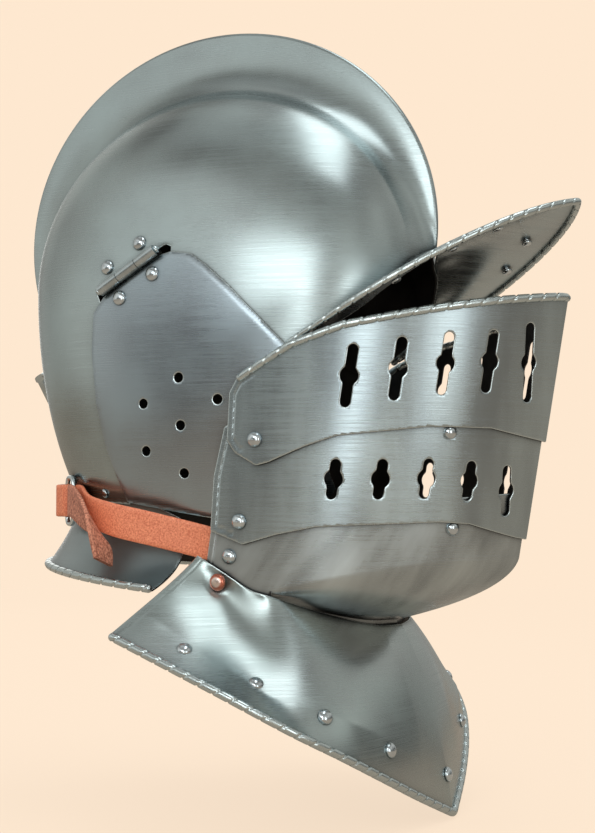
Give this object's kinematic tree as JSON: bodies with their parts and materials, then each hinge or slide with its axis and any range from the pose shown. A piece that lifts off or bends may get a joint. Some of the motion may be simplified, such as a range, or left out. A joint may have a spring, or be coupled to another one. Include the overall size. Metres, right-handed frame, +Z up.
{
  "type": "burgonet helmet with falling buffe",
  "caption": "Closed burgonet: combed steel skull with a pointed peak and hinged cheek pieces, and a strapped-on buffe whose pierced plates fall when catches are pressed.",
  "frame": {"origin": "centre of the skull bowl, on the middle plane", "axes": "+Z up to the comb, -Y forwards to the peak and the buffe, -X the wearer's right side"},
  "size_m": [0.2862, 0.3762, 0.4863],
  "materials": {
    "skull_steel": "satin, brushed across the bowl",
    "peak_steel": "satin, with a roped rolled edge",
    "nape_steel": "satin, with a roped rolled edge",
    "cheek_steel": "satin",
    "buffe_steel": "satin, brushed along the plates",
    "gorget_steel": "satin, with a roped rolled edge",
    "hinge_steel": "satin",
    "pin_steel": "satin",
    "rivet_steel": "polished domes",
    "ring_steel": "satin",
    "plume_steel": "satin",
    "copper_rivet": "reddish ring with a paler dome",
    "strap_leather": "smooth, semi-gloss",
    "flesh_leather": "rough flesh side"
  },
  "bodies": {
    "skull": {"skull": "skull_steel", "peak": "peak_steel", "nape_plate": "nape_steel", "hinge_leaves_skull": "hinge_steel", "hinge_pins": "pin_steel", "peak_rivets": "rivet_steel", "hinge_rivets_skull": "rivet_steel", "nape_rivets": "rivet_steel", "plume_plate": "plume_steel", "plume_tube": "plume_steel", "plume_rivets": "rivet_steel"},
    "cheek_right": {"cheek_right": "cheek_steel", "hinge_leaf_right": "hinge_steel", "hinge_rivets_right": "rivet_steel"},
    "cheek_left": {"cheek_left": "cheek_steel", "hinge_leaf_left": "hinge_steel", "hinge_rivets_left": "rivet_steel"},
    "buffe": {"chin_plate": "buffe_steel", "middle_pivots": "rivet_steel", "gorget_pivots": "copper_rivet", "strap_rivets": "rivet_steel", "strap_right": "strap_leather", "strap_left": "strap_leather", "strap_tail": "flesh_leather", "strap_ring": "ring_steel"},
    "middle_lame": {"middle_lame": "buffe_steel", "upper_pivots": "rivet_steel"},
    "upper_lame": {"upper_lame": "buffe_steel"},
    "gorget": {"gorget_plate": "gorget_steel", "gorget_rivets": "rivet_steel"},
    "upper_catch": {"upper_catch": "pin_steel"},
    "middle_catch": {"middle_catch": "pin_steel"}
  },
  "joints": [
    {"name": "buffe_off", "type": "slide", "parent": "skull", "child": "buffe", "axis": [0, -1, 0], "range_m": [0, 0.26], "deforming": ["strap_right", "strap_left", "strap_tail", "strap_ring"]},
    {"name": "cheek_right_open", "type": "hinge", "parent": "skull", "child": "cheek_right", "pos_m": [-0.08578, 0.033, -0.03], "axis": [0.0064, 0.8575, -0.5145], "range_deg": [0, 28.8]},
    {"name": "cheek_left_open", "type": "hinge", "parent": "skull", "child": "cheek_left", "pos_m": [0.08578, 0.033, -0.03], "axis": [0.0064, -0.8575, 0.5145], "range_deg": [0, 28.8]},
    {"name": "middle_lame_fall", "type": "hinge", "parent": "buffe", "child": "middle_lame", "pos_m": [0, -0.04312, -0.17885], "axis": [1, 0, 0], "range_deg": [0, 12], "deforming": ["middle_catch"]},
    {"name": "upper_lame_fall", "type": "hinge", "parent": "middle_lame", "child": "upper_lame", "pos_m": [0, -0.054, -0.132], "axis": [1, 0, 0], "range_deg": [0, 20], "deforming": ["upper_catch"]},
    {"name": "gorget_swing", "type": "hinge", "parent": "buffe", "child": "gorget", "pos_m": [0, -0.03126, -0.21336], "axis": [1, 0, 0], "range_deg": [0, 11]},
    {"name": "upper_catch_press", "type": "slide", "parent": "middle_lame", "child": "upper_catch", "axis": [0.7599, 0.6412, 0.1073], "range_m": [0, 0.0032], "stiffness_N_per_m": 900},
    {"name": "middle_catch_press", "type": "slide", "parent": "buffe", "child": "middle_catch", "axis": [0.7108, 0.6938, 0.1161], "range_m": [0, 0.0032], "stiffness_N_per_m": 900}
  ],
  "couplings": [
    {"joint": "cheek_right_open", "follows": "buffe_off", "rad_per_m": 1.9231},
    {"joint": "cheek_left_open", "follows": "buffe_off", "rad_per_m": 1.9231}
  ]
}
